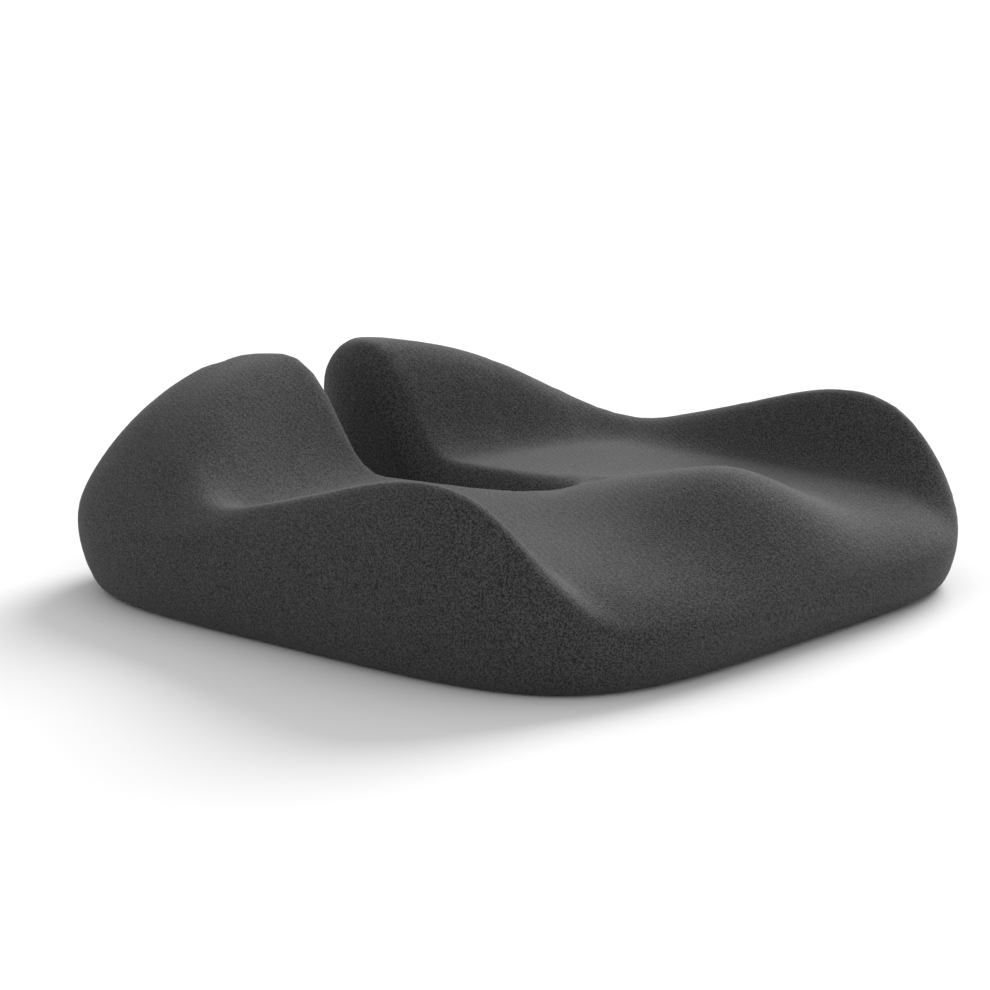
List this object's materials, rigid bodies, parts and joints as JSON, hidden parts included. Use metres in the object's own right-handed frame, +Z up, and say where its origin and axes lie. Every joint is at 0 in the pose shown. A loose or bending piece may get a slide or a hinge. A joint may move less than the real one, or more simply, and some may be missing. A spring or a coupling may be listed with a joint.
{
  "type": "seat cushion",
  "caption": "Contoured foam seat cushion with raised rear wings, side bolsters, a front pommel and an open coccyx slot, in a zipped knitted cover with a grip base.",
  "frame": {"origin": "middle of the base, on the surface that the cushion stands on", "axes": "+Z up, -Y towards the thigh edge, +Y towards the open end of the slot, +X to the right seen from the front"},
  "size_m": [0.4318, 0.4478, 0.1281],
  "materials": {
    "foam": "soft open-cell foam with a fine skin",
    "liner": "thin pale stretch jersey",
    "knit": "charcoal melange knit, matt",
    "seam": "black overlocked edge",
    "base_fabric": "dark woven fabric with rubbery grip dots",
    "zip_tape": "black woven tape",
    "zip_coil": "black nylon coil",
    "zip_metal": "gunmetal plated",
    "label": "white satin label, blank"
  },
  "bodies": {
    "cushion": {"foam_core": "foam", "inner_liner": "liner", "liner_seam": "liner", "outer_cover": "knit", "base_seam": "seam", "base_panel_front": "base_fabric", "base_panel_rear": "base_fabric", "zip_end_tab_left": "base_fabric", "zip_end_tab_right": "base_fabric", "zip_tape_front": "zip_tape", "zip_tape_rear": "zip_tape", "zip_coil_front": "zip_coil", "zip_coil_rear": "zip_coil", "zip_top_stop_front": "zip_metal", "zip_top_stop_rear": "zip_metal", "zip_bottom_stop": "zip_metal", "care_label": "label"},
    "slider": {"zip_slider": "zip_metal"},
    "pull": {"zip_pull": "zip_metal"}
  },
  "joints": [
    {"name": "zip_slide", "type": "slide", "parent": "cushion", "child": "slider", "axis": [-1, 0, 0], "range_m": [0, 0.31]},
    {"name": "zip_pull_swing", "type": "hinge", "parent": "slider", "child": "pull", "pos_m": [0.1616, -0.072, 0.0014], "axis": [0, -1, 0], "range_deg": [0, 160]}
  ]
}
